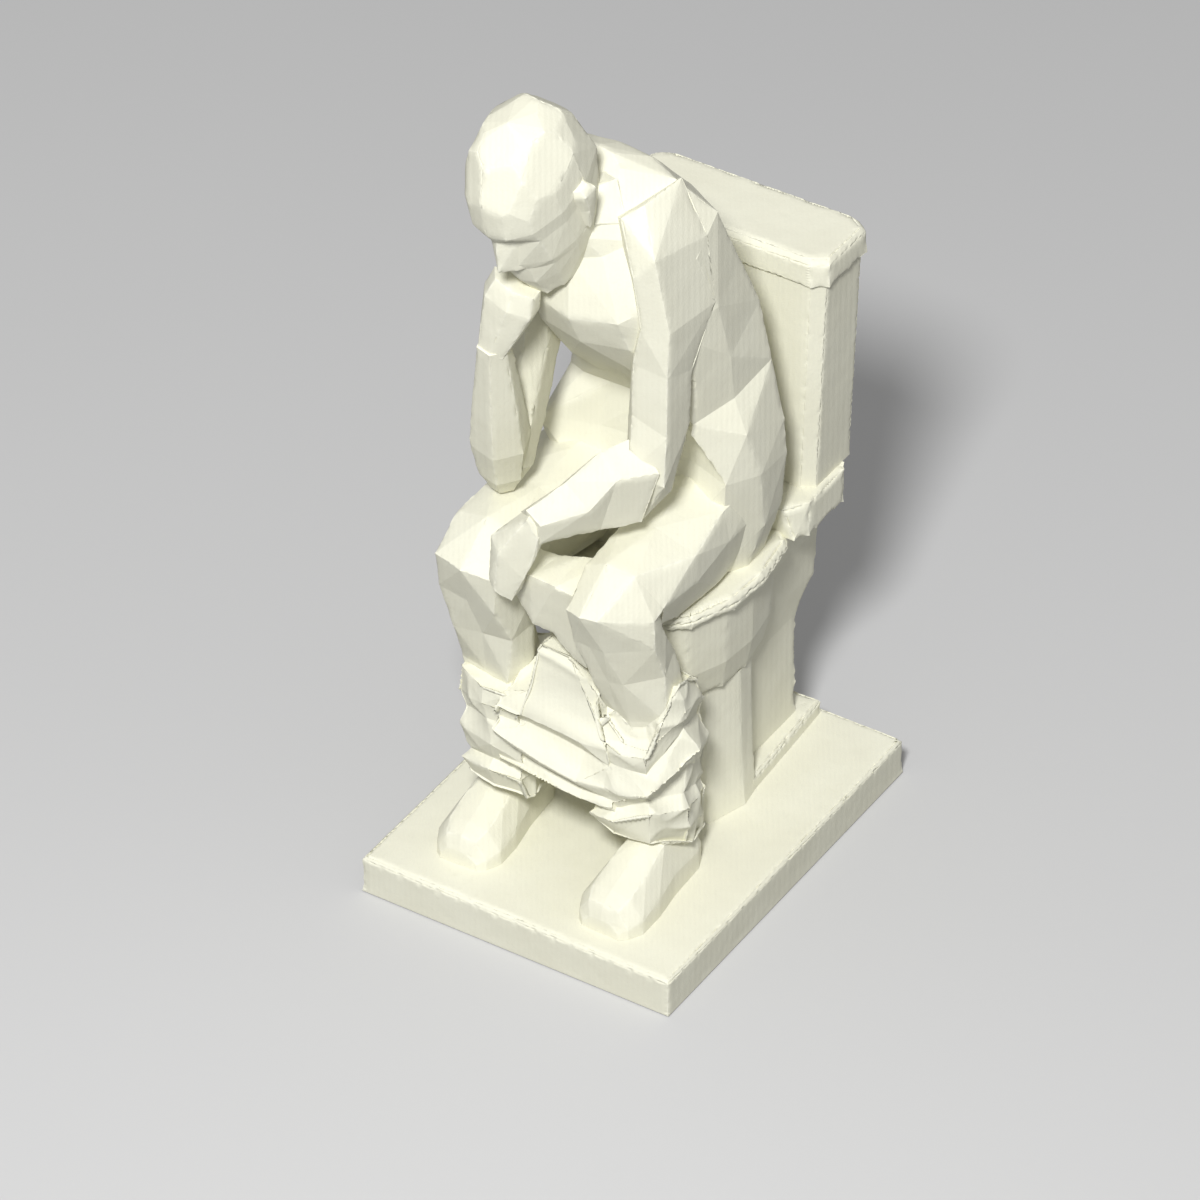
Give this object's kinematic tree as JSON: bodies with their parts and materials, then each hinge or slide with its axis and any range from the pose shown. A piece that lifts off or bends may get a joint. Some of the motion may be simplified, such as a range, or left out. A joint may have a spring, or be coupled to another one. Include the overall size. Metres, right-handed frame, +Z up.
{
  "type": "seated thinker statuette",
  "caption": "Faceted desk statuette of a seated man, chin on hand, on a toilet with his trousers at his ankles, standing on a rectangular plinth.",
  "frame": {"origin": "centre of the plinth's underside", "axes": "+Z up, the man faces -Y and his left side is +X"},
  "size_m": [0.058, 0.0746, 0.1519],
  "materials": {
    "ivory_casting": "matte ivory, fine vertical grain",
    "dowel": "plain"
  },
  "bodies": {
    "root": {"base_plate": "ivory_casting", "pedestal_column": "ivory_casting", "pedestal_step": "ivory_casting", "trap_casing": "ivory_casting", "bowl": "ivory_casting", "seat": "ivory_casting", "deck": "ivory_casting", "cistern": "ivory_casting", "cistern_lid": "ivory_casting", "pelvis": "ivory_casting", "chest": "ivory_casting", "head": "ivory_casting", "left_upper_arm": "ivory_casting", "left_forearm": "ivory_casting", "left_hand": "ivory_casting", "right_upper_arm": "ivory_casting", "right_forearm": "ivory_casting", "right_hand": "ivory_casting", "left_thigh": "ivory_casting", "left_shin": "ivory_casting", "right_thigh": "ivory_casting", "right_shin": "ivory_casting", "trousers": "ivory_casting", "underpants": "ivory_casting", "left_shoe": "ivory_casting", "right_shoe": "ivory_casting", "toilet_pins": "dowel", "body_pins": "dowel", "arm_pins": "dowel"}
  },
  "joints": []
}
